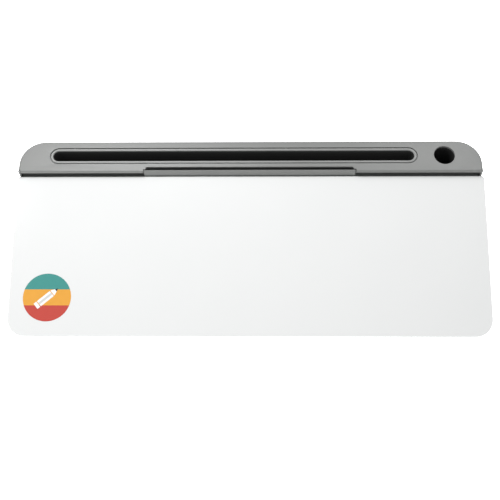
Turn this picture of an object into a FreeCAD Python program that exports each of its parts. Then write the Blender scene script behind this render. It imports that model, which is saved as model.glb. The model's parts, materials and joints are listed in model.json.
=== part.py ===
"""Desk glass writing pad with a tablet stand: a slanted white glass top that slides forward over a storage
tray, and a grey rear housing with a tablet slot, a pen hole and a finger slot behind the pull bar.

X runs to the user's right, Y to the rear and Z up, in millimetres. The origin lies on the desk under the
middle of the overall box. The user sits on the -Y side.
"""
import FreeCAD
import Part
import math
import os

# Glass writing panel
glass_width = 457.0
glass_depth = 157.4
glass_thickness = 4.0
glass_tilt = 12.0
glass_front_height = 12.0
glass_front_radius = 17.0
glass_rear_radius = 3.0
glass_edge_bevel = 0.4

# Layers bonded under the glass
backing_thickness = 0.4
backing_inset = 1.0
tape_thickness = 1.0
tape_width = 9.0
tape_end_inset = 28.0
tape_count = 4
carrier_thickness = 2.0
carrier_front_inset = 26.0

# Rear housing
housing_side_inset = 2.0
housing_rise = 6.72
housing_corner = 24.5
housing_edge_round = 1.8
glass_to_housing = 0.4
wall = 2.5
cheek_width = 2.0
cheek_depth = 2.0
cheek_drop = 0.6
cheek_gap = 0.35
eave_thickness = 2.2
eave_depth = 3.2
seam_height = 0.8
seam_depth = 0.6

# Tablet slot
slot_length = 354.6
slot_width = 11.4
slot_offset = -16.2
slot_front_land = 12.7
slot_rear_land = 10.9
slot_depth = 32.0
slot_lean = 15.0
bezel_rim = 2.55
bezel_thickness = 1.4
bezel_gap = 0.8
bezel_round = 0.7
liner_wall = 1.4
liner_flange = 4.2
liner_flange_thickness = 1.6
liner_boss_height = 3.0
liner_boss_radius = 2.0
liner_screws_per_side = 4

# Pen hole
pen_radius = 10.2
pen_offset = 190.4
pen_depth = 38.0
pen_wall = 1.4
pen_collar = 1.5
pen_collar_height = 6.0

# Pull bar and finger slot
pull_bar_width = 206.4
pull_bar_side_gap = 0.8
pull_bar_setback = 2.3
pull_bar_edge = 0.7
finger_slot_width = 3.3
finger_slot_return = 2.2
finger_slot_corner = 2.5
finger_well_wall = 1.0
finger_well_to_pocket = 0.4
finger_liner_wall = 0.8
finger_liner_gap = 0.05
finger_liner_drop = 0.4
apron_bottom_drop = 31.0
pull_leg_thickness = 2.0
pull_screw_count = 4

# Base tub
tub_front_inset = 8.0
tub_front_radius = 6.0
tub_rim_gap = 1.0
foot_radius = 6.0
foot_height = 1.5
foot_recess = 0.5
foot_inset = 21.0

# Sliding top, rails and runners
top_travel = 60.0
clearance = 0.3
rail_wall = 1.6
rail_outer_offset = 10.5
rail_channel_depth = 4.4
rail_channel_bottom = 11.6
rail_channel_height = 5.8
rail_foot_height = 6.0
rail_ear_length = 12.0
rail_ear_width = 7.0
rail_end_gap = 1.0
runner_width = 10.1
runner_end_inset = 1.5
stop_pin_radius = 1.0
wing_thickness = 2.5
lip_thickness = 3.0
lip_to_housing = 2.4
lip_depth = 9.5
carrier_rib_height = 2.0
carrier_rib_width = 1.6
carrier_rib_spacing = 72.0

# Storage tray
tray_wall = 1.5
tray_head_room = 2.84
tray_rear_gap = 2.2
tray_corner = 4.0
tray_side_gap = 3.5
tray_divider_left = -50.0
tray_divider_right = 100.0

# Screws, magnets and bumpers
screw_hole_gap = 0.05
small_screw_radius = 1.1
small_head_radius = 2.2
small_head_height = 1.6
rail_screw_radius = 1.3
rail_head_radius = 2.7
rail_head_height = 1.8
cover_screw_radius = 1.4
cover_head_radius = 2.8
cover_head_height = 2.0
cover_post_radius = 2.5
tub_post_height = 8.0
cover_end_post_radius = 4.0
magnet_radius = 4.0
magnet_thickness = 3.0
magnet_proud = 1.0
magnet_offset = 150.0
plate_width = 16.0
plate_height = 8.0
plate_thickness = 1.0
bumper_radius = 3.5
bumper_offset = 185.0
bumper_peg_radius = 1.4

# Positions that follow from the sizes above
tilt = math.radians(glass_tilt)
half_width = glass_width / 2.0 - housing_side_inset
housing_depth = slot_front_land + slot_width + slot_rear_land
overall_depth = (glass_depth * math.cos(tilt) + glass_thickness * math.sin(tilt)
                 + glass_to_housing + housing_depth)
front_y = -overall_depth / 2.0
rear_y = overall_depth / 2.0
housing_front = rear_y - housing_depth
glass_low_y = front_y + glass_thickness * math.sin(tilt)
glass_low_z = glass_front_height - glass_thickness * math.cos(tilt)
housing_top = glass_front_height + glass_depth * math.sin(tilt) + housing_rise
stack = backing_thickness + tape_thickness + carrier_thickness


def under_glass(y, below):
    """Height, at y, of the plane that lies the given distance beneath the glass."""
    return glass_low_z + (y - glass_low_y) * math.tan(tilt) - below / math.cos(tilt)


split = under_glass(housing_front, 0.0)
plate_under = housing_top - wall
slot_y = rear_y - slot_rear_land - slot_width / 2.0
bezel_seat = housing_top - bezel_thickness
neck_bottom = plate_under - liner_boss_height - liner_flange_thickness
neck_length = slot_length + 2.0 * liner_wall
neck_width = slot_width + 2.0 * liner_wall
finger_slot_rear = housing_front + pull_bar_setback + finger_slot_width
well_room = slot_y - neck_width / 2.0 - finger_slot_rear - finger_well_wall - finger_well_to_pocket
well_floor = neck_bottom - well_room / math.tan(math.radians(slot_lean)) + finger_well_wall
notch_half = pull_bar_width / 2.0 + pull_bar_side_gap
notch_rear = housing_front + pull_bar_setback + pull_bar_side_gap
finger_half = notch_half - finger_slot_return
floor_top = foot_height + wall
lip_rear = housing_front - lip_to_housing
lip_bottom = under_glass(lip_rear, stack) - lip_depth
catch_height = lip_bottom + plate_height / 2.0 + 0.5
rail_outer = half_width - rail_outer_offset
rail_top = rail_channel_bottom + rail_channel_height + rail_wall
rail_front = glass_low_y + (rail_top + rail_end_gap + stack / math.cos(tilt) - glass_low_z) / math.tan(tilt)
corner_x = half_width - housing_corner
corner_y = rear_y - housing_corner
corner_reach = math.sqrt((housing_corner - wall) ** 2 - (rail_outer + rail_end_gap - corner_x) ** 2)
rail_rear = corner_y + corner_reach - rail_end_gap
runner_outer = rail_outer - rail_wall - clearance
runner_inner = runner_outer - runner_width
runner_bottom = rail_channel_bottom + clearance
runner_top = rail_channel_bottom + rail_channel_height - clearance
runner_front = rail_front + runner_end_inset
runner_rear = rail_rear - runner_end_inset
wing_inner = runner_inner - wing_thickness
carrier_half = half_width - tub_front_radius - wall
tray_half = wing_inner - tray_side_gap
tray_front = housing_front + pull_bar_setback - top_travel - tray_wall + clearance
tray_rear = housing_front - tray_rear_gap
tray_rim_height = under_glass(tray_front, stack) - tray_head_room
apron_bottom = housing_top - apron_bottom_drop
apron_half = tray_half
tub_front = front_y + tub_front_inset


def point(x, y, z):
    return FreeCAD.Vector(x, y, z)


def box(x0, x1, y0, y1, z0, z1):
    return Part.makeBox(x1 - x0, y1 - y0, z1 - z0, point(x0, y0, z0))


def rod(radius, start, end):
    """A cylinder between two points."""
    axis = end - start
    return Part.makeCylinder(radius, axis.Length, start, axis)


def post(radius, x, y, z0, z1):
    return rod(radius, point(x, y, z0), point(x, y, z1))


def mirrored(shape):
    """The same shape on the other side of the middle plane."""
    return shape.mirror(point(0, 0, 0), point(1, 0, 0))


def both_sides(shape):
    return [shape, mirrored(shape)]


def upright_edges(shape, y0, y1):
    """Vertical edges of a block whose y lies between the two values."""
    found = []
    for edge in shape.Edges:
        size = edge.BoundBox
        if size.ZLength > size.XLength + size.YLength and y0 < size.Center.y < y1:
            found.append(edge)
    return found


def rounded_block(half, y0, y1, z0, z1, front_radius, rear_radius):
    """A block centred on x = 0 with rounded upright edges."""
    block = box(-half, half, y0, y1, z0, z1)
    middle = (y0 + y1) / 2.0
    block = block.makeFillet(front_radius, upright_edges(block, y0 - 1.0, middle))
    return block.makeFillet(rear_radius, upright_edges(block, y1 - 0.01, y1 + 1.0))


def side_profile(points, x0, x1):
    """A (y, z) outline extruded along x."""
    corners = [point(x0, y, z) for y, z in points]
    face = Part.Face(Part.makePolygon(corners + corners[:1]))
    return face.extrude(point(x1 - x0, 0, 0))


def slot_face(length, width, z):
    """A round-ended outline around the tablet slot's middle."""
    radius = width / 2.0
    left = slot_offset - length / 2.0 + radius
    right = slot_offset + length / 2.0 - radius
    front = slot_y - radius
    rear = slot_y + radius
    edges = [
        Part.LineSegment(point(left, front, z), point(right, front, z)),
        Part.Arc(point(right, front, z), point(right + radius, slot_y, z), point(right, rear, z)),
        Part.LineSegment(point(right, rear, z), point(left, rear, z)),
        Part.Arc(point(left, rear, z), point(left - radius, slot_y, z), point(left, front, z)),
    ]
    return Part.Face(Part.Wire([edge.toShape() for edge in edges]))


def slot_block(length, width, z0, z1):
    return slot_face(length, width, z0).extrude(point(0, 0, z1 - z0))


def leaning_block(length, width, z_top, z_bottom):
    """A round-ended block whose foot leans towards the user."""
    drop = z_top - z_bottom
    return slot_face(length, width, z_top).extrude(point(0, -drop * math.tan(math.radians(slot_lean)), -drop))


def on_slope(shape):
    """Moves a shape drawn flat, with z = 0 as the underside of the glass, onto the slope."""
    placed = shape.copy()
    placed.rotate(point(0, 0, 0), point(1, 0, 0), glass_tilt)
    placed.translate(point(0, glass_low_y, glass_low_z))
    return placed


def spread(count, half):
    """Evenly spread positions from -half to half."""
    return [-half + 2.0 * half * i / (count - 1) for i in range(count)]


def glass_panel():
    panel = rounded_block(glass_width / 2.0, 0.0, glass_depth, 0.0, glass_thickness,
                          glass_front_radius, glass_rear_radius)
    flat_edges = [e for e in panel.Edges if e.BoundBox.ZLength < 0.001]
    return on_slope(panel.makeChamfer(glass_edge_bevel, flat_edges))


def backing_sheet():
    sheet = rounded_block(glass_width / 2.0 - backing_inset, backing_inset, glass_depth - backing_inset,
                          -backing_thickness, 0.0,
                          glass_front_radius - backing_inset, glass_rear_radius - backing_inset)
    return on_slope(sheet)


def mounting_tapes():
    half = glass_width / 2.0 - tape_end_inset
    first = carrier_front_inset + tape_width
    last = glass_depth - 2.0 * tape_width
    strips = []
    for i in range(tape_count):
        middle = first + (last - first) * i / (tape_count - 1)
        strip = box(-half, half, middle - tape_width / 2.0, middle + tape_width / 2.0,
                    -backing_thickness - tape_thickness, -backing_thickness)
        strips.append(on_slope(strip))
    return Part.makeCompound(strips)


def runner_screw_positions():
    span = lip_rear - runner_front
    return [runner_front + span * part for part in (0.12, 0.5, 0.85)]


def pull_screw_positions():
    return spread(pull_screw_count, pull_bar_width / 2.0 - 18.0)


def top_carrier():
    carrier_front = glass_low_y + carrier_front_inset * math.cos(tilt)
    top = stack - carrier_thickness
    plate = side_profile([(carrier_front, under_glass(carrier_front, top)),
                          (lip_rear, under_glass(lip_rear, top)),
                          (lip_rear, lip_bottom),
                          (lip_rear - lip_thickness, lip_bottom),
                          (lip_rear - lip_thickness, under_glass(lip_rear - lip_thickness, stack)),
                          (carrier_front, under_glass(carrier_front, stack))],
                         -carrier_half, carrier_half)
    middle = stack - carrier_thickness / 2.0
    wing = side_profile([(runner_front, runner_bottom),
                         (lip_rear, runner_bottom),
                         (lip_rear, under_glass(lip_rear, middle)),
                         (runner_front, under_glass(runner_front, middle))],
                        wing_inner, runner_inner)
    rib_front = carrier_front + 18.0
    rib_rear = tray_front - 5.0
    deep = stack + carrier_rib_height
    ribs = []
    for i in range(-2, 3):
        x = i * carrier_rib_spacing
        ribs.append(side_profile([(rib_front, under_glass(rib_front, deep)),
                                  (rib_rear, under_glass(rib_rear, deep)),
                                  (rib_rear, under_glass(rib_rear, middle)),
                                  (rib_front, under_glass(rib_front, middle))],
                                 x - carrier_rib_width / 2.0, x + carrier_rib_width / 2.0))
    carrier = plate.multiFuse(both_sides(wing) + ribs)
    cuts = []
    for y in runner_screw_positions():
        z = (runner_bottom + runner_top) / 2.0
        hole = rod(small_screw_radius + 0.2, point(wing_inner - 1.0, y, z), point(runner_inner + 1.0, y, z))
        cuts += both_sides(hole)
    for x in pull_screw_positions():
        cuts.append(rod(small_screw_radius + screw_hole_gap, point(x, lip_rear - lip_thickness - 1.0, catch_height),
                        point(x, lip_rear + 1.0, catch_height)))
    cuts += both_sides(catch_plate(screw_hole_gap))
    return carrier.cut(cuts).removeSplitter()


def catch_plate(grow):
    """The steel plate at the right end, let into the lip's rear face."""
    return box(magnet_offset - plate_width / 2.0 - grow, magnet_offset + plate_width / 2.0 + grow,
               lip_rear - plate_thickness, lip_rear + grow,
               catch_height - plate_height / 2.0 - grow, catch_height + plate_height / 2.0 + grow)


def pull_bar():
    bar_rear = housing_front + pull_bar_setback
    bar_front = glass_low_y + glass_depth * math.cos(tilt) + clearance
    leg_rear = lip_rear + pull_leg_thickness
    leg_top = under_glass(lip_rear, backing_thickness) - clearance
    face_foot = housing_top - housing_rise + clearance
    z0 = catch_height - 3.5
    z1 = catch_height + 3.5
    face = Part.Arc(point(0, bar_front, face_foot),
                    point(0, bar_front + 0.9, housing_top - 2.6),
                    point(0, bar_rear - pull_bar_edge, housing_top))
    corners = [(bar_rear - pull_bar_edge, housing_top), (bar_rear, housing_top - pull_bar_edge / 2.0),
               (bar_rear, z1 + 3.0), (leg_rear, z1), (leg_rear, z0), (lip_rear, z0),
               (lip_rear, leg_top), (bar_front, leg_top + 0.5), (bar_front, face_foot)]
    line = Part.makePolygon([point(0, y, z) for y, z in corners])
    outline = Part.Wire([face.toShape()] + line.Edges)
    bar = Part.Face(outline).extrude(point(pull_bar_width, 0, 0))
    bar.translate(point(-pull_bar_width / 2.0, 0, 0))
    holes = []
    for x in pull_screw_positions():
        holes.append(rod(small_screw_radius + 0.2, point(x, lip_rear - 1.0, catch_height),
                         point(x, bar_rear + 1.0, catch_height)))
        holes.append(rod(small_head_radius + 0.2, point(x, leg_rear, catch_height),
                         point(x, bar_rear + 1.0, catch_height)))
    return bar.cut(holes)


def pull_bar_screws():
    screws = []
    leg_rear = lip_rear + pull_leg_thickness
    for x in pull_screw_positions():
        head = rod(small_head_radius, point(x, leg_rear, catch_height),
                   point(x, leg_rear + small_head_height, catch_height))
        shank = rod(small_screw_radius, point(x, lip_rear - lip_thickness + 0.4, catch_height),
                    point(x, leg_rear, catch_height))
        screws.append(head.fuse(shank))
    return Part.makeCompound(screws)


def stop_pin_y():
    return runner_rear - 6.0


def runner_right():
    bar = box(runner_inner, runner_outer, runner_front, runner_rear, runner_bottom, runner_top)
    bar = bar.makeChamfer(0.6, [e for e in bar.Edges if e.BoundBox.YLength < 0.01])
    pin_x = runner_outer - rail_channel_depth / 2.0
    pin = post(stop_pin_radius, pin_x, stop_pin_y(), runner_top - 0.5, rail_top - 0.2)
    holes = []
    for y in runner_screw_positions():
        z = (runner_bottom + runner_top) / 2.0
        holes.append(rod(small_screw_radius + screw_hole_gap, point(runner_inner - 1.0, y, z),
                         point(runner_inner + 5.5, y, z)))
    return bar.fuse(pin).cut(holes)


def runner_screws():
    screws = []
    z = (runner_bottom + runner_top) / 2.0
    for y in runner_screw_positions():
        head = rod(small_head_radius, point(wing_inner - small_head_height, y, z), point(wing_inner, y, z))
        shank = rod(small_screw_radius, point(wing_inner, y, z), point(runner_inner + 5.0, y, z))
        screws += both_sides(head.fuse(shank))
    return Part.makeCompound(screws)


def rail_ear_positions():
    span = housing_front - rail_front
    return [rail_front + span * part for part in (0.12, 0.5, 0.9)]


def rail_ear_x():
    return rail_outer + rail_ear_width / 2.0 + 0.5


def rail_right():
    inner = rail_outer - rail_wall - rail_channel_depth
    channel_top = rail_channel_bottom + rail_channel_height
    corners = [(rail_outer, rail_foot_height), (rail_outer, rail_top), (inner, rail_top), (inner, channel_top),
               (rail_outer - rail_wall, channel_top), (rail_outer - rail_wall, rail_channel_bottom),
               (inner, rail_channel_bottom), (inner, rail_channel_bottom - rail_wall),
               (rail_outer - rail_wall, rail_channel_bottom - rail_wall), (rail_outer - rail_wall, rail_foot_height)]
    points = [point(x, rail_front, z) for x, z in corners]
    rail = Part.Face(Part.makePolygon(points + points[:1])).extrude(point(0, rail_rear - rail_front, 0))
    ears = []
    holes = []
    for y in rail_ear_positions():
        ears.append(box(rail_outer - rail_wall, rail_outer + rail_ear_width, y - rail_ear_length / 2.0,
                        y + rail_ear_length / 2.0, rail_foot_height, rail_foot_height + rail_wall))
        holes.append(post(rail_screw_radius + 0.2, rail_ear_x(), y, rail_foot_height - 1.0,
                          rail_foot_height + rail_wall + 1.0))
    reach = stop_pin_radius + clearance
    pin_x = runner_outer - rail_channel_depth / 2.0
    stop_slot = box(pin_x - reach, pin_x + reach, stop_pin_y() - top_travel - reach, stop_pin_y() + reach,
                    channel_top - 1.0, rail_top + 1.0)
    return rail.multiFuse(ears).cut(holes + [stop_slot])


def rail_screws():
    screws = []
    seat = rail_foot_height + rail_wall
    for y in rail_ear_positions():
        head = post(rail_head_radius, rail_ear_x(), y, seat, seat + rail_head_height)
        shank = post(rail_screw_radius, rail_ear_x(), y, foot_height + 1.0, seat)
        screws += both_sides(head.fuse(shank))
    return Part.makeCompound(screws)


def front_post_y():
    return housing_front + 1.6


def front_post_positions():
    return [-140.0, -50.0, 50.0, 140.0]


def end_post_position():
    return half_width - 6.0, corner_y + 5.0


def cover_screw_list():
    """Each cover screw as x, y, the height its head bears on and the height its tip reaches."""
    listed = [(x, front_post_y(), floor_top + 0.5, apron_bottom - 4.0) for x in front_post_positions()]
    x, y = end_post_position()
    for side in (-x, x):
        listed.append((side, y, split - 5.0, split + 7.0))
    return listed


def cover_screws():
    screws = []
    for x, y, seat, tip in cover_screw_list():
        head = post(cover_head_radius, x, y, seat - cover_head_height, seat)
        shank = post(cover_screw_radius, x, y, seat, tip)
        screws.append(head.fuse(shank))
    return Part.makeCompound(screws)


def foot_positions():
    """Name and centre of each rubber foot."""
    side = half_width - foot_inset
    front = tub_front + foot_inset / 2.0 + foot_radius / 2.0
    rear = rear_y - foot_inset
    named = []
    for row, y in (("front", front), ("rear", rear)):
        for column, x in (("left", -side), ("middle", 0.0), ("right", side)):
            named.append(("foot_" + row + "_" + column, x, y))
    return named


def base_tub():
    outer = rounded_block(half_width, tub_front, rear_y, foot_height, split, tub_front_radius, housing_corner)
    outer = outer.makeChamfer(0.6, [e for e in outer.Edges if e.BoundBox.ZMax < foot_height + 0.01])
    inner = rounded_block(half_width - wall, tub_front + wall, rear_y - wall, floor_top, split + 1.0,
                          tub_front_radius - wall, housing_corner - wall)
    rim = backing_thickness + tub_rim_gap
    above = side_profile([(front_y - 1.0, under_glass(front_y - 1.0, rim)),
                          (housing_front, under_glass(housing_front, rim)),
                          (housing_front, split + 1.0), (front_y - 1.0, split + 1.0)],
                         -half_width - 1.0, half_width + 1.0)
    tub = outer.cut([inner, above])
    added = []
    for y in rail_ear_positions():
        added += both_sides(post(3.0, rail_ear_x(), y, floor_top - 0.5, rail_foot_height))
    for x in front_post_positions():
        added.append(post(cover_post_radius + 1.0, x, front_post_y(), floor_top - 0.5,
                          floor_top + tub_post_height))
    end_x, end_y = end_post_position()
    added += both_sides(post(cover_end_post_radius, end_x, end_y, floor_top - 0.5, split))
    cheek = box(half_width - cheek_width, half_width, housing_front, housing_front + cheek_depth,
                split - 3.0, housing_top - cheek_drop)
    cheek = cheek.makeFillet(0.8, [e for e in cheek.Edges if e.BoundBox.Center.x > half_width - 0.01
                                   and e.BoundBox.YLength < 0.01 and e.BoundBox.Center.y < housing_front + 0.01
                                   and e.BoundBox.ZLength > 1.0])
    added += both_sides(cheek)
    tub = tub.multiFuse(added)
    cuts = []
    for x, y, seat, tip in cover_screw_list():
        cuts.append(post(cover_head_radius + 0.2, x, y, foot_height - 1.0, seat))
        cuts.append(post(cover_screw_radius + 0.2, x, y, seat - 1.0, split + 1.0))
    for y in rail_ear_positions():
        cuts += both_sides(post(rail_screw_radius + screw_hole_gap, rail_ear_x(), y, foot_height + 0.8,
                                rail_foot_height + 1.0))
    for name, x, y in foot_positions():
        cuts.append(post(foot_radius + 0.1, x, y, foot_height - 1.0, foot_height + foot_recess))
    return tub.cut(cuts)


def seam_band():
    """The shallow shadow line round the foot of the cover, where it meets the tub."""
    start = housing_front + cheek_depth + cheek_gap
    top = split + seam_height
    band = rounded_block(half_width + 1.0, start, rear_y + 1.0, split - 1.0, top, 0.1, housing_corner + 1.0)
    kept = rounded_block(half_width - seam_depth, start - 1.0, rear_y - seam_depth, split - 2.0, top + 1.0,
                         0.1, housing_corner - seam_depth)
    return band.cut(kept)


def rear_cover():
    outer = rounded_block(half_width, housing_front, rear_y, split, housing_top, 1.0, housing_corner)
    outer = outer.makeFillet(housing_edge_round, [e for e in outer.Edges if e.BoundBox.ZMin > housing_top - 0.01])
    inner = rounded_block(half_width - wall, housing_front + wall, rear_y - wall, split - 1.0, plate_under,
                          1.0, housing_corner - wall)
    cover = outer.cut(inner)
    well_half = notch_half + finger_well_wall
    shelf_half = half_width - wall - clearance
    added = [box(-apron_half, apron_half, housing_front, housing_front + wall, apron_bottom, split),
             box(-shelf_half, shelf_half, housing_front, housing_front + eave_depth + wall, split - wall, split),
             box(-half_width + 1.0, half_width - 1.0, housing_front + eave_depth, housing_front + eave_depth + wall,
                 split, plate_under + 0.5),
             box(-well_half, well_half, housing_front, finger_slot_rear + finger_well_wall,
                 well_floor - finger_well_wall, plate_under + 0.5)]
    for x in front_post_positions():
        added.append(post(cover_post_radius, x, front_post_y(), floor_top + tub_post_height, apron_bottom + 2.0))
    end_x, end_y = end_post_position()
    added += both_sides(post(cover_end_post_radius - 0.5, end_x, end_y, split, plate_under + 0.5))
    for x in (-bumper_offset, bumper_offset):
        added.append(rod(bumper_radius, point(x, housing_front + 1.0, catch_height),
                         point(x, housing_front + wall + 1.0, catch_height)))
    magnet_pad = rod(magnet_radius + 2.0, point(magnet_offset, housing_front + 1.0, catch_height),
                     point(magnet_offset, housing_front + wall + 1.5, catch_height))
    added += both_sides(magnet_pad)
    for x, y in liner_screw_positions():
        added.append(post(liner_boss_radius, x, y, plate_under - liner_boss_height, plate_under + 0.5))
    added.append(post(pen_radius + pen_wall + 0.1 + pen_collar, pen_offset, slot_y,
                      plate_under - pen_collar_height, plate_under + 0.5))
    cover = cover.multiFuse(added)
    finger_cut = rounded_block(finger_half, housing_front - 1.0, finger_slot_rear, well_floor, housing_top + 1.0,
                               0.5, finger_slot_corner)
    cuts = [box(-notch_half, notch_half, housing_front - 1.0, notch_rear, well_floor, housing_top + 1.0),
            finger_cut,
            slot_block(slot_length + 2.0 * bezel_rim + 2.0 * bezel_gap, slot_width + 2.0 * bezel_rim + 2.0 * bezel_gap,
                       bezel_seat, housing_top + 1.0),
            slot_block(neck_length + 0.2, neck_width + 0.2, plate_under - 1.0, housing_top + 1.0),
            post(pen_radius, pen_offset, slot_y, plate_under - 1.0, housing_top + 1.0),
            post(pen_radius + pen_wall + 0.1, pen_offset, slot_y, plate_under - pen_collar_height - 1.0, plate_under)]
    cheek = box(half_width - cheek_width - cheek_gap, half_width + 1.0, housing_front - 1.0,
                housing_front + cheek_depth + cheek_gap, split - 1.0, housing_top + 1.0)
    cuts += both_sides(cheek)
    under_eave = half_width - cheek_width - cheek_gap
    cuts.append(box(-under_eave, under_eave, housing_front - 1.0, housing_front + eave_depth,
                    split, housing_top - eave_thickness))
    cuts.append(seam_band())
    magnet = rod(magnet_radius + screw_hole_gap, point(magnet_offset, housing_front - 1.0, catch_height),
                 point(magnet_offset, housing_front + magnet_thickness - magnet_proud, catch_height))
    cuts += both_sides(magnet)
    peg = rod(bumper_peg_radius, point(bumper_offset, housing_front - 1.0, catch_height),
              point(bumper_offset, housing_front + wall, catch_height))
    cuts += both_sides(peg)
    for x, y in liner_screw_positions():
        cuts.append(post(small_screw_radius + screw_hole_gap, x, y, plate_under - liner_boss_height - 1.0,
                         plate_under + 1.2))
    for x, y, seat, tip in cover_screw_list():
        cuts.append(post(cover_screw_radius + screw_hole_gap, x, y, seat, tip + 0.5))
    return cover.cut(cuts)


def finger_liner():
    """The black trough that lines the finger slot's rear wall, ends and floor."""
    half = finger_half - finger_liner_gap
    rear = finger_slot_rear - finger_liner_gap
    floor = well_floor + finger_liner_gap
    outer = rounded_block(half, housing_front - 1.0, rear, floor, housing_top - finger_liner_drop,
                          0.3, finger_slot_corner)
    inner = rounded_block(half - finger_liner_wall, housing_front - 2.0, rear - finger_liner_wall,
                          floor + finger_liner_wall, housing_top, 0.3, finger_slot_corner - finger_liner_wall)
    under_bar = box(-half - 1.0, half + 1.0, housing_front - 2.0, notch_rear, floor - 1.0, housing_top)
    return outer.cut([inner, under_bar])


def liner_screw_positions():
    """Centres of the screws in the liner's flange, in front of and behind the slot."""
    away = (neck_width + liner_flange) / 2.0
    placed = []
    for x in spread(liner_screws_per_side, slot_length / 2.0 - 20.0):
        placed.append((slot_offset + x, slot_y - away))
        placed.append((slot_offset + x, slot_y + away))
    return placed


def slot_bezel():
    ring = slot_block(slot_length + 2.0 * bezel_rim, slot_width + 2.0 * bezel_rim, bezel_seat, housing_top)
    ring = ring.cut(slot_block(slot_length, slot_width, bezel_seat - 1.0, housing_top + 1.0))
    top_edges = [e for e in ring.Edges if e.BoundBox.ZMin > housing_top - 0.01]
    inner_edges = [e for e in top_edges if abs(e.BoundBox.Center.y - slot_y) < slot_width / 2.0 + 0.1
                   and abs(e.BoundBox.Center.x - slot_offset) < slot_length / 2.0 + 0.1]
    return ring.makeFillet(bezel_round, inner_edges)


def pocket_floor():
    return housing_top - slot_depth


def slot_liner():
    """The whole pocket under the bezel, before it is parted into its two mouldings."""
    flange = slot_block(neck_length + 2.0 * liner_flange, neck_width + 2.0 * liner_flange,
                        neck_bottom, neck_bottom + liner_flange_thickness)
    outer = slot_block(neck_length, neck_width, neck_bottom, bezel_seat)
    outer = outer.fuse(leaning_block(neck_length, neck_width, neck_bottom, pocket_floor() - liner_wall))
    inner = slot_block(slot_length, slot_width, neck_bottom, bezel_seat + 1.0)
    inner = inner.fuse(leaning_block(slot_length, slot_width, neck_bottom, pocket_floor()))
    holes = []
    for x, y in liner_screw_positions():
        holes.append(post(small_screw_radius + 0.2, x, y, neck_bottom - 1.0, bezel_seat))
    return outer.fuse(flange.cut(holes)).cut(inner)


def liner_front_region():
    """Everything in front of the leaning plane where the liner's two mouldings meet."""
    foot = pocket_floor() - liner_wall - 1.0
    foot_y = slot_y - (neck_bottom - foot) * math.tan(math.radians(slot_lean))
    return side_profile([(slot_y, housing_top), (slot_y, neck_bottom), (foot_y, foot), (front_y, foot),
                         (front_y, housing_top)], -half_width, half_width)


def slot_liner_front():
    return slot_liner().common(liner_front_region())


def slot_liner_rear():
    return slot_liner().cut(liner_front_region())


def liner_screws():
    screws = []
    for x, y in liner_screw_positions():
        head = post(small_head_radius - 0.6, x, y, neck_bottom - 1.2, neck_bottom)
        shank = post(small_screw_radius, x, y, neck_bottom, plate_under + 1.0)
        screws.append(head.fuse(shank))
    return Part.makeCompound(screws)


def pen_cup():
    floor = housing_top - pen_depth
    outer = post(pen_radius + pen_wall, pen_offset, slot_y, floor - pen_wall, plate_under)
    return outer.cut(post(pen_radius, pen_offset, slot_y, floor, plate_under + 1.0))


def storage_tray():
    outer = rounded_block(tray_half, tray_front, tray_rear, floor_top, tray_rim_height, tray_corner, tray_corner)
    inner = rounded_block(tray_half - tray_wall, tray_front + tray_wall, tray_rear - tray_wall,
                          floor_top + tray_wall, tray_rim_height + 1.0,
                          tray_corner - tray_wall, tray_corner - tray_wall)
    tray = outer.cut(inner)
    dividers = []
    for x in (tray_divider_left, tray_divider_right):
        dividers.append(box(x - tray_wall / 2.0, x + tray_wall / 2.0, tray_front + 0.5, tray_rear - 0.5,
                            floor_top + 0.5, tray_rim_height - 3.0))
    return tray.multiFuse(dividers)


def catch_magnets():
    magnet = rod(magnet_radius, point(magnet_offset, housing_front - magnet_proud, catch_height),
                 point(magnet_offset, housing_front + magnet_thickness - magnet_proud, catch_height))
    return Part.makeCompound(both_sides(magnet))


def close_bumpers():
    pad = rod(bumper_radius, point(bumper_offset, lip_rear + clearance, catch_height),
              point(bumper_offset, housing_front, catch_height))
    peg = rod(bumper_peg_radius, point(bumper_offset, housing_front, catch_height),
              point(bumper_offset, housing_front + wall, catch_height))
    return Part.makeCompound(both_sides(pad.fuse(peg)))


nodes = {
    "base_tub": base_tub(),
    "rear_cover": rear_cover(),
    "finger_liner": finger_liner(),
    "slot_bezel": slot_bezel(),
    "slot_liner_front": slot_liner_front(),
    "slot_liner_rear": slot_liner_rear(),
    "pen_cup": pen_cup(),
    "storage_tray": storage_tray(),
    "guide_rail_left": mirrored(rail_right()),
    "guide_rail_right": rail_right(),
    "rail_screws": rail_screws(),
    "cover_screws": cover_screws(),
    "liner_screws": liner_screws(),
    "catch_magnets": catch_magnets(),
    "close_bumpers": close_bumpers(),
    "glass_panel": glass_panel(),
    "backing_sheet": backing_sheet(),
    "mounting_tapes": mounting_tapes(),
    "top_carrier": top_carrier(),
    "pull_bar": pull_bar(),
    "pull_bar_screws": pull_bar_screws(),
    "runner_left": mirrored(runner_right()),
    "runner_right": runner_right(),
    "runner_screws": runner_screws(),
    "catch_plates": Part.makeCompound(both_sides(catch_plate(0.0))),
}
for foot_name, foot_x, foot_y in foot_positions():
    nodes[foot_name] = post(foot_radius, foot_x, foot_y, 0.0, foot_height + foot_recess)

os.makedirs("parts", exist_ok=True)
for node_name, shape in nodes.items():
    shape.exportStep("parts/" + node_name + ".step")
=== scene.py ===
"""Looks of the desk glass pad with a tablet slot: finishes for the moulded shell and the white glass,
refined edges, fasteners, feet, tray ribs, the printed badge, the studio and the camera. Lengths are in metres."""
import json
import math
import bmesh
import bpy
from mathutils import Matrix, Vector


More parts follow.
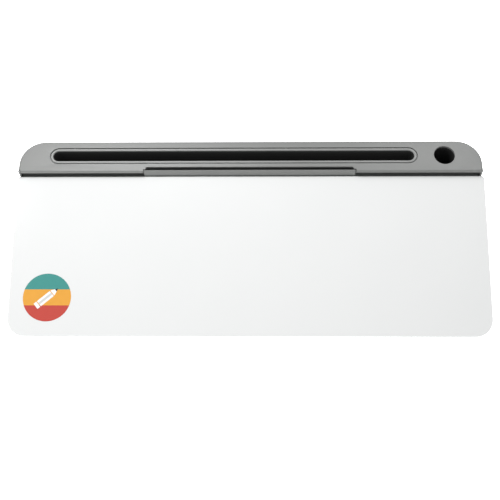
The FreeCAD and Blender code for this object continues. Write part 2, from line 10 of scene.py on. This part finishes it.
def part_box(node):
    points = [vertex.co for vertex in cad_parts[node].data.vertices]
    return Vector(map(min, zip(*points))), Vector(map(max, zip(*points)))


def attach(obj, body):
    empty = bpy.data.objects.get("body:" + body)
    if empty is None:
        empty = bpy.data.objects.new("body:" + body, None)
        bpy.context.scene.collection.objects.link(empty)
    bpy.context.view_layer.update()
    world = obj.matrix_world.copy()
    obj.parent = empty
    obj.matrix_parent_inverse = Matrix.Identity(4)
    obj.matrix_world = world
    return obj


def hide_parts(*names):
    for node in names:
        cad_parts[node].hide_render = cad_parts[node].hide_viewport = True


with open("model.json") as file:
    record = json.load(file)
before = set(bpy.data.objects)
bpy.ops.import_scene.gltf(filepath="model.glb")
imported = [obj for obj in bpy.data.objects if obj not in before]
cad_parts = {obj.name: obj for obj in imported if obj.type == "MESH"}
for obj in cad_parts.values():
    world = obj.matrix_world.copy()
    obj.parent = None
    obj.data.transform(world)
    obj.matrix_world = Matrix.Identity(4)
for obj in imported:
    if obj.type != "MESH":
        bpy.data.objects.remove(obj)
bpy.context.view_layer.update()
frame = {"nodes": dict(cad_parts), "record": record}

MM = 0.001
BASE = "base"
TOP = "sliding_top"
GLASS_TILT = math.radians(12.0)
GLASS_THICKNESS = 4.0 * MM
TRAY_WALL = 1.5 * MM
TRAY_DIVIDERS = (-50.0 * MM, 100.0 * MM)
MERGE_DISTANCE = 0.002 * MM
SHARP_ANGLE = math.radians(28.0)

nodes = frame["nodes"]


# ---------------------------------------------------------------- shader expressions

# A Mix node holds sockets for every data type; these are the places of its colour ones.
MIX_FIRST = 6
MIX_SECOND = 7
MIX_COLOUR = 2


class Socket:
    """A shader output that takes part in Python arithmetic; each operation adds a Math node."""

    def __init__(self, finish, link):
        self.finish = finish
        self.link = link

    def _math(self, operation, first, second):
        return self.finish.node("ShaderNodeMath", {"operation": operation}, {0: first, 1: second})

    def __add__(self, other):
        return self._math("ADD", self, other)

    def __radd__(self, other):
        return self._math("ADD", other, self)

    def __sub__(self, other):
        return self._math("SUBTRACT", self, other)

    def __rsub__(self, other):
        return self._math("SUBTRACT", other, self)

    def __mul__(self, other):
        return self._math("MULTIPLY", self, other)

    def __rmul__(self, other):
        return self._math("MULTIPLY", other, self)


class Finish:
    """A material under construction."""

    def __init__(self, name):
        self.material = bpy.data.materials.new(name)
        self.material.use_nodes = True
        self.tree = self.material.node_tree
        self.tree.nodes.clear()

    def node(self, kind, settings=None, inputs=None, output=0):
        """Adds a node: its settings first, then its sockets, and hands back one of its outputs."""
        made = self.tree.nodes.new(kind)
        for key, value in (settings or {}).items():
            setattr(made, key, value)
        for key, value in (inputs or {}).items():
            if isinstance(value, Socket):
                self.tree.links.new(value.link, made.inputs[key])
            else:
                made.inputs[key].default_value = value
        return Socket(self, made.outputs[output]) if len(made.outputs) else None

    def object_point(self):
        return self.node("ShaderNodeTexCoord", output="Object")

    def noise(self, size, detail=2.0, point=None):
        """Noise whose blotches are about `size` metres across."""
        inputs = {"Vector": point or self.object_point(), "Scale": 1.0 / size, "Detail": detail}
        return self.node("ShaderNodeTexNoise", None, inputs)

    def tint(self, amount, first, second):
        """Runs from one colour to another as the amount goes from 0 to 1."""
        inputs = {"Factor": amount, MIX_FIRST: first, MIX_SECOND: second}
        return self.node("ShaderNodeMix", {"data_type": "RGBA"}, inputs, output=MIX_COLOUR)

    def clamp_range(self, value, low, high):
        """Goes from 0 at low to 1 at high and holds the ends."""
        inputs = {"Value": value, "From Min": low, "From Max": high, "To Min": 0.0, "To Max": 1.0}
        return self.node("ShaderNodeMapRange", {"clamp": True}, inputs)

    def bump(self, height, depth):
        return self.node("ShaderNodeBump", None, {"Strength": 1.0, "Distance": depth, "Height": height})

    def finish(self, **sockets):
        """Ends the material in a Principled shader; socket names are given with underscores for spaces."""
        inputs = {key.replace("_", " "): value for key, value in sockets.items()}
        shader = self.node("ShaderNodeBsdfPrincipled", None, inputs)
        self.node("ShaderNodeOutputMaterial", None, {"Surface": shader})
        return self.material


def rgba(red, green, blue):
    return (red, green, blue, 1.0)


def shade(colour, factor):
    """A lighter or darker copy of a colour."""
    return rgba(*(part * factor for part in colour[:3]))


# ---------------------------------------------------------------- finishes

SPARK_DEPTH = 0.02 * MM


def moulded_plastic(name, colour, roughness, depth=SPARK_DEPTH):
    """Spark-textured moulded plastic with a faint drift in shade and sheen."""
    f = Finish(name)
    drift = f.noise(38.0 * MM, 3.0)
    spark = f.noise(0.35 * MM, 3.0)
    return f.finish(Base_Color=f.tint(drift, shade(colour, 0.96), shade(colour, 1.04)),
                    Roughness=roughness + 0.08 * (f.noise(9.0 * MM) - 0.5) + 0.06 * spark,
                    Normal=f.bump(spark, depth))


def white_glass():
    """Clear glass over a white film: even white on the face, faintly green and darker along the cut edges."""
    f = Finish("white_glass")
    normal = f.node("ShaderNodeNewGeometry", output="Normal")
    face_normal = (0.0, -math.sin(GLASS_TILT), math.cos(GLASS_TILT))
    facing = f.node("ShaderNodeVectorMath", {"operation": "DOT_PRODUCT"}, {0: normal, 1: face_normal},
                    output="Value")
    on_edge = 1.0 - f.clamp_range(facing, 0.35, 0.95)
    drift = f.noise(60.0 * MM, 2.0)
    body = f.tint(drift, rgba(0.705, 0.715, 0.712), rgba(0.725, 0.732, 0.730))
    smear = f.noise(24.0 * MM, 4.0)
    return f.finish(Base_Color=f.tint(on_edge, body, rgba(0.44, 0.50, 0.48)), Roughness=0.13 + 0.07 * smear,
                    Coat_Weight=0.4, Coat_Roughness=0.12, IOR=1.5)


def rubber(name, colour):
    """Matt rubber with a fine powdery speck."""
    f = Finish(name)
    speck = f.noise(0.6 * MM, 4.0)
    return f.finish(Base_Color=f.tint(speck, colour, shade(colour, 1.6)),
                    Roughness=0.72 + 0.14 * speck, Normal=f.bump(speck, 0.03 * MM))


def plated_steel(name, colour, roughness):
    """Plated steel with fine scratches drawn along its length."""
    f = Finish(name)
    along_length = (1.0, 1.0, 14.0)
    stretched = f.node("ShaderNodeMapping", None, {"Vector": f.object_point(), "Scale": along_length})
    scratch = f.noise(1.2 * MM, 5.0, stretched)
    return f.finish(Base_Color=f.tint(scratch, shade(colour, 0.9), colour), Metallic=1.0,
                    Roughness=roughness + 0.15 * scratch, Normal=f.bump(scratch, 0.004 * MM))


def foam():
    """Closed-cell foam tape."""
    f = Finish("foam_tape")
    cell_size = 0.5 * MM
    cells = f.node("ShaderNodeTexVoronoi", None, {"Vector": f.object_point(), "Scale": 1.0 / cell_size})
    return f.finish(Base_Color=f.tint(cells, rgba(0.78, 0.78, 0.76), rgba(0.62, 0.62, 0.60)), Roughness=0.9,
                    Normal=f.bump(cells, 0.08 * MM))


def printed_ink(name, colour):
    """Screen-printed ink: an even film with a faint mesh in its sheen."""
    f = Finish(name)
    film = f.noise(0.25 * MM, 1.0)
    drift = f.noise(6.0 * MM, 2.0)
    return f.finish(Base_Color=f.tint(drift, shade(colour, 0.96), shade(colour, 1.04)),
                    Roughness=0.16 + 0.12 * film, Normal=f.bump(film, 0.002 * MM))


GLOSSY_DEPTH = 0.004 * MM
FINISHES = {
    "grey_shell": moulded_plastic("grey_shell", rgba(0.176, 0.181, 0.176), 0.32),
    # grey_trim is the shell's grey made about a fifth lighter: painted light, which makes the pull bar's sloped
    # face read brighter than the housing, as if lit from the front and above.
    "grey_trim": moulded_plastic("grey_trim", rgba(0.210, 0.215, 0.210), 0.32, depth=0.006 * MM),
    "black_soft": rubber("black_soft", rgba(0.024, 0.0245, 0.024)),
    "black_plastic": moulded_plastic("black_plastic", rgba(0.034, 0.034, 0.034), 0.34),
    "dark_tray": moulded_plastic("dark_tray", rgba(0.075, 0.077, 0.076), 0.55),
    "rail_plastic": moulded_plastic("rail_plastic", rgba(0.60, 0.60, 0.57), 0.38, depth=GLOSSY_DEPTH),
    "runner_plastic": moulded_plastic("runner_plastic", rgba(0.030, 0.030, 0.030), 0.36, depth=GLOSSY_DEPTH),
    "screw_steel": plated_steel("screw_steel", rgba(0.60, 0.60, 0.58), 0.28),
    "magnet_plating": plated_steel("magnet_plating", rgba(0.68, 0.67, 0.65), 0.12),
    "rubber_black": rubber("rubber_black", rgba(0.018, 0.018, 0.018)),
    "white_glass": white_glass(),
    "white_film": moulded_plastic("white_film", rgba(0.80, 0.80, 0.79), 0.5, depth=0.002 * MM),
    "foam_tape": foam(),
    "carrier_plastic": moulded_plastic("carrier_plastic", rgba(0.20, 0.204, 0.20), 0.5),
}
SLOT_OF = {entry["node"]: entry["material_slot"] for entry in frame["record"]["subparts"]}


def dress(piece, material):
    piece.data.materials.clear()
    piece.data.materials.append(material)


for name, node in nodes.items():
    dress(node, FINISHES[SLOT_OF[name]])


# ---------------------------------------------------------------- pieces made from the CAD shapes

def new_piece(name, mesh, body, slot, material=None):
    piece = bpy.data.objects.new(name, mesh)
    bpy.context.scene.collection.objects.link(piece)
    dress(piece, material or FINISHES[slot])
    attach(piece, body)
    return piece


def smooth_flat(mesh, sharp_angle=SHARP_ANGLE):
    """Smooth shading that breaks at edges sharper than the angle."""
    mesh.shade_smooth()
    mesh.set_sharp_from_angle(angle=sharp_angle)


def merged_copy(node_name):
    """The node's shape as one joined mesh with large flat faces."""
    made = bmesh.new()
    made.from_mesh(nodes[node_name].data)
    bmesh.ops.remove_doubles(made, verts=made.verts, dist=MERGE_DISTANCE)
    bmesh.ops.dissolve_limit(made, angle_limit=math.radians(0.6), verts=made.verts, edges=made.edges,
                             delimit=set())
    mesh = bpy.data.meshes.new(node_name + "_finished")
    made.to_mesh(mesh)
    made.free()
    return mesh


def refined(node_name, body, edge):
    """Stands in for a CAD node with its sharp edges softened by a bevel as wide as edge."""
    mesh = merged_copy(node_name)
    piece = new_piece(node_name + "_finished", mesh, body, SLOT_OF[node_name])
    smooth_flat(mesh)
    bevel = piece.modifiers.new("soft edges", "BEVEL")
    bevel.width = edge
    bevel.segments = 2
    bevel.limit_method = "ANGLE"
    bevel.angle_limit = SHARP_ANGLE
    bevel.harden_normals = True
    bevel.use_clamp_overlap = True
    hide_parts(node_name)
    return piece


# Node: the body it rides on and the width of its softened edges in millimetres.
SOFT_EDGES = {
    "rear_cover": (BASE, 0.25), "slot_bezel": (BASE, 0.15), "base_tub": (BASE, 0.3),
    "storage_tray": (BASE, 0.3),
    "pen_cup": (BASE, 0.2), "slot_liner_front": (BASE, 0.2), "slot_liner_rear": (BASE, 0.2),
    "finger_liner": (BASE, 0.15), "guide_rail_left": (BASE, 0.15), "guide_rail_right": (BASE, 0.15),
    "catch_magnets": (BASE, 0.2), "close_bumpers": (BASE, 0.4), "pull_bar": (TOP, 0.25),
    "glass_panel": (TOP, 0.12), "top_carrier": (TOP, 0.2), "runner_left": (TOP, 0.15),
    "runner_right": (TOP, 0.15), "catch_plates": (TOP, 0.1),
}
for name, (body, edge) in SOFT_EDGES.items():
    refined(name, body, edge * MM)


# ---------------------------------------------------------------- pieces made by geometry nodes

class Growth:
    """A geometry node tree under construction; its outputs are plain sockets."""

    def __init__(self, name, sizes):
        self.tree = bpy.data.node_groups.new(name, "GeometryNodeTree")
        self.sizes = sizes
        self.identifiers = {}
        self.tree.interface.new_socket("Geometry", in_out="INPUT", socket_type="NodeSocketGeometry")
        self.tree.interface.new_socket("Geometry", in_out="OUTPUT", socket_type="NodeSocketGeometry")
        for size_name, value in sizes.items():
            kind = "NodeSocketInt" if isinstance(value, int) else "NodeSocketFloat"
            socket = self.tree.interface.new_socket(size_name, in_out="INPUT", socket_type=kind)
            self.identifiers[size_name] = socket.identifier
        self.start = self.tree.nodes.new("NodeGroupInput")

    def size(self, size_name):
        return self.start.outputs[size_name]

    def geometry(self):
        return self.start.outputs["Geometry"]

    def node(self, kind, settings=None, inputs=None, output=0):
        """Adds a node: settings first, then values, links or lists of links for its sockets."""
        made = self.tree.nodes.new(kind)
        for key, value in (settings or {}).items():
            setattr(made, key, value)
        for key, value in (inputs or {}).items():
            for one in value if isinstance(value, list) else [value]:
                if isinstance(one, bpy.types.NodeSocket):
                    self.tree.links.new(one, made.inputs[key])
                else:
                    made.inputs[key].default_value = one
        return made.outputs[output]

    def math(self, operation, first, second):
        return self.node("ShaderNodeMath", {"operation": operation}, {0: first, 1: second})

    def vector(self, x=0.0, y=0.0, z=0.0):
        return self.node("ShaderNodeCombineXYZ", None, {"X": x, "Y": y, "Z": z})

    def moved(self, geometry, x=0.0, y=0.0, z=0.0):
        inputs = {"Geometry": geometry, "Translation": self.vector(x, y, z)}
        return self.node("GeometryNodeTransform", None, inputs)

    def joined(self, *geometries):
        return self.node("GeometryNodeJoinGeometry", None, {"Geometry": list(reversed(geometries))})

    def cylinder(self, radius, depth, vertices=28):
        return self.node("GeometryNodeMeshCylinder", {"fill_type": "NGON"},
                         {"Vertices": vertices, "Radius": radius, "Depth": depth})

    def scattered(self, shape):
        """The shape at each point of the incoming mesh, turned by the points' own "turn" attribute."""
        turn = self.node("GeometryNodeInputNamedAttribute", {"data_type": "FLOAT_VECTOR"}, {"Name": "turn"})
        return self.node("GeometryNodeInstanceOnPoints", None,
                         {"Points": self.geometry(), "Instance": shape, "Rotation": turn})

    def grown(self, geometry, material, places, turn, piece_name):
        """Ends the tree, runs it on the places and hands back the result as a plain mesh."""
        whole = self.node("GeometryNodeRealizeInstances", None, {"Geometry": geometry})
        whole = self.node("GeometryNodeSetMaterial", None, {"Geometry": whole, "Material": material})
        end = self.tree.nodes.new("NodeGroupOutput")
        self.tree.links.new(whole, end.inputs["Geometry"])
        points = bpy.data.meshes.new(piece_name + "_places")
        points.from_pydata([tuple(place) for place in places], [], [])
        turns = points.attributes.new("turn", "FLOAT_VECTOR", "POINT")
        for entry in turns.data:
            entry.vector = turn
        seed = bpy.data.objects.new(piece_name + "_seed", points)
        bpy.context.scene.collection.objects.link(seed)
        modifier = seed.modifiers.new("growth", "NODES")
        modifier.node_group = self.tree
        for size_name, value in self.sizes.items():
            modifier[self.identifiers[size_name]] = value
        ready = bpy.context.evaluated_depsgraph_get()
        mesh = bpy.data.meshes.new_from_object(seed.evaluated_get(ready), depsgraph=ready)
        seed.modifiers.remove(modifier)
        bpy.data.objects.remove(seed)
        mesh.name = piece_name
        return mesh


def islands(node_name):
    """Lowest and highest corner of each separate solid of a CAD node."""
    made = bmesh.new()
    made.from_mesh(nodes[node_name].data)
    bmesh.ops.remove_doubles(made, verts=made.verts, dist=MERGE_DISTANCE)
    waiting = set(made.verts)
    found = []
    while waiting:
        front = [waiting.pop()]
        members = list(front)
        while front:
            for edge in front.pop().link_edges:
                for vert in edge.verts:
                    if vert in waiting:
                        waiting.remove(vert)
                        members.append(vert)
                        front.append(vert)
        found.append(([min(v.co[i] for v in members) for i in range(3)],
                      [max(v.co[i] for v in members) for i in range(3)]))
    made.free()
    return sorted(found)


def screw_tree(name, sizes):
    """A screw that points down its own -Z axis, with its bearing face at z = 0 and its head above."""
    g = Growth(name, sizes)
    head_radius = g.size("Head radius")
    head_height = g.size("Head height")
    shank_radius = g.size("Shank radius")
    shank_length = g.size("Shank length")
    skirt_height = g.math("MULTIPLY", head_height, 0.45)
    skirt = g.moved(g.cylinder(head_radius, skirt_height), z=g.math("MULTIPLY", skirt_height, 0.5))
    dome = g.node("GeometryNodeMeshUVSphere", None, {"Segments": 28, "Rings": 14, "Radius": head_radius})
    flattening = g.math("DIVIDE", g.math("MULTIPLY", head_height, 0.54), head_radius)
    dome = g.node("GeometryNodeTransform", None,
                  {"Geometry": dome, "Translation": g.vector(z=skirt_height),
                   "Scale": g.vector(1.0, 1.0, flattening)})
    recess_width = g.math("MULTIPLY", head_radius, 0.24)
    recess_span = g.math("MULTIPLY", head_radius, 1.15)
    recess_depth = g.math("MULTIPLY", head_height, 0.95)
    bars = []
    for first, second in ((recess_width, recess_span), (recess_span, recess_width)):
        bar = g.node("GeometryNodeMeshCube", None, {"Size": g.vector(first, second, recess_depth)})
        bars.append(g.moved(bar, z=head_height))
    head = g.node("GeometryNodeMeshBoolean", {"operation": "UNION", "solver": "EXACT"},
                  {"Mesh 2": [skirt, dome]})
    under_width = g.math("MULTIPLY", head_radius, 3.0)
    under = g.node("GeometryNodeMeshCube", None, {"Size": g.vector(under_width, under_width, head_radius)})
    under = g.moved(under, z=g.math("MULTIPLY", head_radius, -0.5))
    head = g.node("GeometryNodeMeshBoolean", {"operation": "DIFFERENCE", "solver": "EXACT"},
                  {"Mesh 1": head, "Mesh 2": bars + [under]})
    core_radius = g.math("MULTIPLY", shank_radius, 0.82)
    core = g.moved(g.cylinder(core_radius, shank_length, 18), z=g.math("MULTIPLY", shank_length, -0.5))
    turns = g.math("DIVIDE", shank_length, g.size("Pitch"))
    ridge_depth = g.math("MULTIPLY", shank_radius, 0.14)
    ridge_centre = g.math("SUBTRACT", shank_radius, ridge_depth)
    thread = g.node("GeometryNodeCurveSpiral", None,
                    {"Resolution": 14, "Rotations": turns, "Start Radius": ridge_centre,
                     "End Radius": ridge_centre,
                     "Height": g.math("MULTIPLY", shank_length, -0.9)})
    ridge = g.node("GeometryNodeCurvePrimitiveCircle", None, {"Resolution": 4, "Radius": ridge_depth})
    thread = g.node("GeometryNodeCurveToMesh", None,
                    {"Curve": thread, "Profile Curve": ridge, "Fill Caps": True})
    thread = g.moved(thread, z=g.math("MULTIPLY", shank_length, -0.05))
    return g, g.scattered(g.joined(head, core, thread))


# Node, body, the axis its screws lie along (0 for X to 2 for Z), whether their heads are at its high end,
# and head height and shank radius in millimetres. The runners' screws point outwards on each side, so
# their heads lie towards the middle plane.
SCREW_SETS = [
    ("rail_screws", BASE, 2, True, 1.8, 1.3),
    ("cover_screws", BASE, 2, False, 2.0, 1.4),
    ("liner_screws", BASE, 2, False, 1.2, 1.1),
    ("pull_bar_screws", TOP, 1, True, 1.6, 1.1),
    ("runner_screws", TOP, 0, None, 1.6, 1.1),
]
# Rotation that turns a screw's +Z, the way its head faces, to the axis's high or low end.
HEAD_TURNS = {
    (2, True): (0.0, 0.0, 0.0),
    (2, False): (math.pi, 0.0, 0.0),
    (1, True): (-math.pi / 2.0, 0.0, 0.0),
    (0, True): (0.0, math.pi / 2.0, 0.0),
    (0, False): (0.0, -math.pi / 2.0, 0.0),
}
HEAD_TO_CAD = 0.995
THREAD_PITCH = 0.9 * MM


def screws(node_name, body, axis, head_high, head_height, shank_radius):
    """Puts a threaded, cross-recessed screw in place of each plain one of the node."""
    batches = {}
    for low, high in islands(node_name):
        middle = [(low[i] + high[i]) / 2.0 for i in range(3)]
        faces_high = head_high if head_high is not None else middle[0] < 0.0
        seat = high[axis] - head_height * MM if faces_high else low[axis] + head_height * MM
        middle[axis] = seat
        across = (axis + 1) % 3
        length = round(high[axis] - low[axis] - head_height * MM, 5)
        radius = round((high[across] - low[across]) / 2.0, 5)
        batches.setdefault((faces_high, length, radius), []).append(middle)
    meshes = []
    for number, ((faces_high, length, radius), places) in enumerate(sorted(batches.items())):
        sizes = {"Head radius": radius * HEAD_TO_CAD, "Head height": head_height * MM,
                 "Shank radius": shank_radius * MM, "Shank length": length, "Pitch": THREAD_PITCH}
        g, shape = screw_tree("%s_tree_%d" % (node_name, number), sizes)
        meshes.append(g.grown(shape, FINISHES["screw_steel"], places, HEAD_TURNS[(axis, faces_high)],
                              "%s_%d" % (node_name, number)))
    joined = bmesh.new()
    for mesh in meshes:
        joined.from_mesh(mesh)
    whole = bpy.data.meshes.new(node_name + "_threaded")
    joined.to_mesh(whole)
    joined.free()
    smooth_flat(whole, math.radians(40.0))
    piece = new_piece(node_name + "_threaded", whole, body, "screw_steel")
    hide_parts(node_name)


for screw_set in SCREW_SETS:
    screws(*screw_set)


FOOT_SIDES = 48


def feet():
    """Six turned rubber feet with a raised rim and a ring, in place of the plain discs."""
    names = [name for name in nodes if name.startswith("foot_")]
    corners = [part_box(name) for name in names]
    radius = (corners[0][1][0] - corners[0][0][0]) / 2.0
    height = corners[0][1][2] - corners[0][0][2]
    places = [((low[0] + high[0]) / 2.0, (low[1] + high[1]) / 2.0, low[2]) for low, high in corners]
    sizes = {"Radius": radius, "Height": height, "Rim width": 0.9 * MM, "Rim proud": 0.35 * MM}
    g = Growth("foot_tree", sizes)
    proud = g.size("Rim proud")
    pad_height = g.math("SUBTRACT", g.size("Height"), proud)
    pad = g.moved(g.cylinder(g.size("Radius"), pad_height, FOOT_SIDES),
                  z=g.math("ADD", proud, g.math("MULTIPLY", pad_height, 0.5)))
    rings = []
    for share in (0.5, 0.92):  # each ring's outer radius as a share of the foot's
        outer_edge = g.math("MULTIPLY", g.size("Radius"), share)
        inner_edge = g.math("SUBTRACT", outer_edge, g.size("Rim width"))
        disc = g.cylinder(outer_edge, g.math("MULTIPLY", proud, 2.0), FOOT_SIDES)
        hole = g.cylinder(inner_edge, g.math("MULTIPLY", proud, 4.0), FOOT_SIDES)
        band = g.node("GeometryNodeMeshBoolean", {"operation": "DIFFERENCE", "solver": "EXACT"},
                      {"Mesh 1": disc, "Mesh 2": [hole]})
        rings.append(g.moved(band, z=proud))
    shape = g.scattered(g.joined(pad, *rings))
    mesh = g.grown(shape, FINISHES["rubber_black"], places, (0.0, 0.0, 0.0), "rubber_feet")
    smooth_flat(mesh)
    piece = new_piece("rubber_feet", mesh, BASE, "rubber_black")
    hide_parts(*names)


feet()


def tray_ribs():
    """Low ribs on the tray's floor, which keep pens from rolling and lift clips for a fingernail."""
    low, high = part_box("storage_tray")
    inset = TRAY_WALL + 2.5 * MM
    count = 56
    sizes = {"Rib length": high[1] - low[1] - 2.0 * inset, "Rib width": 1.2 * MM, "Rib height": 0.8 * MM}
    g = Growth("tray_rib_tree", sizes)
    rib = g.node("GeometryNodeMeshCube", None,
                 {"Size": g.vector(g.size("Rib width"), g.size("Rib length"), g.size("Rib height"))})
    rib = g.moved(rib, z=g.math("MULTIPLY", g.size("Rib height"), 0.5))
    step = (high[0] - low[0] - 2.0 * inset) / (count - 1)
    places = []
    for i in range(count):
        x = low[0] + inset + step * i
        if all(abs(x - divider) > TRAY_WALL + sizes["Rib width"] for divider in TRAY_DIVIDERS):
            places.append((x, (low[1] + high[1]) / 2.0, low[2] + TRAY_WALL))
    mesh = g.grown(g.scattered(rib), FINISHES["dark_tray"], places, (0.0, 0.0, 0.0), "tray_ribs")
    smooth_flat(mesh)
    piece = new_piece("tray_ribs", mesh, BASE, "dark_tray")
    bevel = piece.modifiers.new("soft edges", "BEVEL")
    bevel.width = 0.3 * MM
    bevel.segments = 2


tray_ribs()


# ---------------------------------------------------------------- printed badge

BADGE_ACROSS = -192.0 * MM
BADGE_UP_SLOPE = 37.0 * MM
BADGE_RADIUS = 23.0 * MM
INK_LIFT = 0.03 * MM
INK_STEP = 0.02 * MM
TEAL_INK = rgba(0.050, 0.260, 0.235)
AMBER_INK = rgba(0.700, 0.330, 0.045)
RED_INK = rgba(0.480, 0.060, 0.045)
WHITE_INK = rgba(0.80, 0.80, 0.79)
DARK_INK = rgba(0.030, 0.034, 0.040)
PENCIL_LEAN = math.radians(40.0)
PENCIL_LENGTH = 27.0 * MM
PENCIL_HALF_WIDTH = 3.2 * MM
PENCIL_TIP = 7.0 * MM
PENCIL_POINT_SHARE = 0.42
PENCIL_END = 4.0 * MM
PENCIL_GAP = 0.7 * MM


def on_glass(x, along, lift):
    """A point on the glass's face, from its place along the slope above the lower front edge."""
    low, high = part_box("glass_panel")
    rise, run = math.sin(GLASS_TILT), math.cos(GLASS_TILT)
    return (x, low[1] + along * run - lift * rise, low[2] + (GLASS_THICKNESS + lift) * run + along * rise)


def ink_patch(name, outline, layer, colour):
    """A flat patch of ink on the glass from an outline in the badge's own plane."""
    mesh = bpy.data.meshes.new(name)
    lift = INK_LIFT + INK_STEP * layer
    points = [on_glass(BADGE_ACROSS + x, BADGE_UP_SLOPE + y, lift) for x, y in outline]
    mesh.from_pydata(points, [], [list(range(len(points)))])
    new_piece(name, mesh, TOP, "white_glass", printed_ink(name, colour))


def arc(start, stop, steps):
    """Points on the badge's rim from one angle to another, both included."""
    angles = [start + (stop - start) * i / steps for i in range(steps + 1)]
    return [(BADGE_RADIUS * math.cos(angle), BADGE_RADIUS * math.sin(angle)) for angle in angles]


def leaning(points):
    """Points of the upright pencil, turned to its lean."""
    rise, run = math.sin(PENCIL_LEAN), math.cos(PENCIL_LEAN)
    return [(x * run - y * rise, x * rise + y * run) for x, y in points]


def pencil_band(left, right, half_width):
    """A straight stretch of the pencil."""
    return leaning([(left, -half_width), (right, -half_width), (right, half_width), (left, half_width)])


def badge():
    """A round badge of three muted bands with a white pencil across it."""
    band = math.asin(1.0 / 3.0)
    ink_patch("badge_band_upper", arc(band, math.pi - band, 48), 0, TEAL_INK)
    middle = arc(-band, band, 16) + arc(math.pi - band, math.pi + band, 16)
    ink_patch("badge_band_middle", middle, 0, AMBER_INK)
    ink_patch("badge_band_lower", arc(math.pi + band, 2.0 * math.pi - band, 48), 0, RED_INK)

    half = PENCIL_HALF_WIDTH
    back, point = -PENCIL_LENGTH / 2.0, PENCIL_LENGTH / 2.0
    body_start = back + PENCIL_END
    body_end = point - PENCIL_TIP - PENCIL_GAP
    ink_patch("badge_pencil_end", pencil_band(back, body_start - PENCIL_GAP, half), 1, WHITE_INK)
    ink_patch("badge_pencil_body", pencil_band(body_start, body_end, half), 1, WHITE_INK)
    for name, share, layer, ink in (("cone", 1.0, 1, WHITE_INK), ("point", PENCIL_POINT_SHARE, 2, DARK_INK)):
        outline = [(point - PENCIL_TIP * share, -half * share), (point, 0.0),
                   (point - PENCIL_TIP * share, half * share)]
        ink_patch("badge_pencil_" + name, leaning(outline), layer, ink)
    core = pencil_band(body_start, body_end, half / 3.0)
    ink_patch("badge_pencil_core", core, 2, shade(WHITE_INK, 0.72))


badge()


# ---------------------------------------------------------------- studio

FLOOR_HALF_WIDTH = 6.0
BACKDROP_STRENGTH = 0.57
# Name, place, aim, width of the disc and power.
SOFTBOXES = [
    ("softbox_above", (-0.16, 0.34, 0.80), (-0.05, 0.0, 0.03), 0.26, 2.9),
    ("softbox_left", (-0.60, 0.15, 0.75), (-0.05, 0.0, 0.03), 0.30, 1.0),
    ("softbox_rear_left", (-0.45, 0.68, 1.02), (-0.05, 0.0, 0.03), 0.28, 2.5),
    ("softbox_rear_right", (0.44, 0.70, 1.05), (0.05, 0.0, 0.03), 0.40, 2.6),
    ("softbox_front", (-0.40, -1.20, 0.35), (0.0, 0.06, 0.04), 0.60, 5.5),
]


def stage_floor():
    """A pale floor that glows enough to leave no shadow."""
    mesh = bpy.data.meshes.new("studio_floor")
    size = FLOOR_HALF_WIDTH
    corners = [(-size, -size, 0), (size, -size, 0), (size, size, 0), (-size, size, 0)]
    mesh.from_pydata(corners, [], [(0, 1, 2, 3)])
    floor = bpy.data.objects.new("studio_floor", mesh)
    bpy.context.scene.collection.objects.link(floor)
    f = Finish("studio_floor")
    dress(floor, f.finish(Base_Color=rgba(0.80, 0.80, 0.80), Roughness=0.9,
                          Emission_Color=rgba(1.0, 1.0, 1.0), Emission_Strength=1.5))


def area_light(name, place, target, size, power):
    lamp = bpy.data.lights.new(name, "AREA")
    lamp.shape = "DISK"
    lamp.size = size
    lamp.energy = power
    holder = bpy.data.objects.new(name, lamp)
    bpy.context.scene.collection.objects.link(holder)
    holder.location = place
    holder.rotation_euler = (Vector(target) - Vector(place)).to_track_quat("-Z", "Y").to_euler()


def studio():
    stage_floor()
    world = bpy.data.worlds.new("studio")
    world.use_nodes = True
    backdrop = world.node_tree.nodes["Background"]
    backdrop.inputs["Color"].default_value = rgba(1.0, 1.0, 1.0)
    backdrop.inputs["Strength"].default_value = BACKDROP_STRENGTH
    bpy.context.scene.world = world
    for softbox in SOFTBOXES:
        area_light(*softbox)
    bpy.context.scene.view_settings.view_transform = "Standard"


CAMERA_PLACE = Vector((0.0170, -0.3583, 0.7583))
CAMERA_DOWN = math.radians(64.67)
CAMERA_HEADING = math.radians(-2.69)
CAMERA_ROLL = math.radians(-2.45)
CAMERA_LENS = 60.6
CAMERA_SENSOR = 36.0


def camera():
    """Looks down on the pad from above the user's side."""
    level_part = math.cos(CAMERA_DOWN)
    ahead = Vector((math.sin(CAMERA_HEADING) * level_part, math.cos(CAMERA_HEADING) * level_part,
                    -math.sin(CAMERA_DOWN)))
    level = ahead.cross(Vector((0.0, 0.0, 1.0))).normalized()
    above = level.cross(ahead)
    right = level * math.cos(CAMERA_ROLL) + above * math.sin(CAMERA_ROLL)
    up = above * math.cos(CAMERA_ROLL) - level * math.sin(CAMERA_ROLL)
    lens = bpy.data.cameras.new("camera")
    lens.lens = CAMERA_LENS
    lens.sensor_width = CAMERA_SENSOR
    lens.clip_start = 0.01
    view = bpy.data.objects.new("camera", lens)
    bpy.context.scene.collection.objects.link(view)
    turn = Matrix((right, up, -ahead)).transposed().to_4x4()
    view.matrix_world = Matrix.Translation(CAMERA_PLACE) @ turn
    bpy.context.scene.camera = view


studio()
camera()
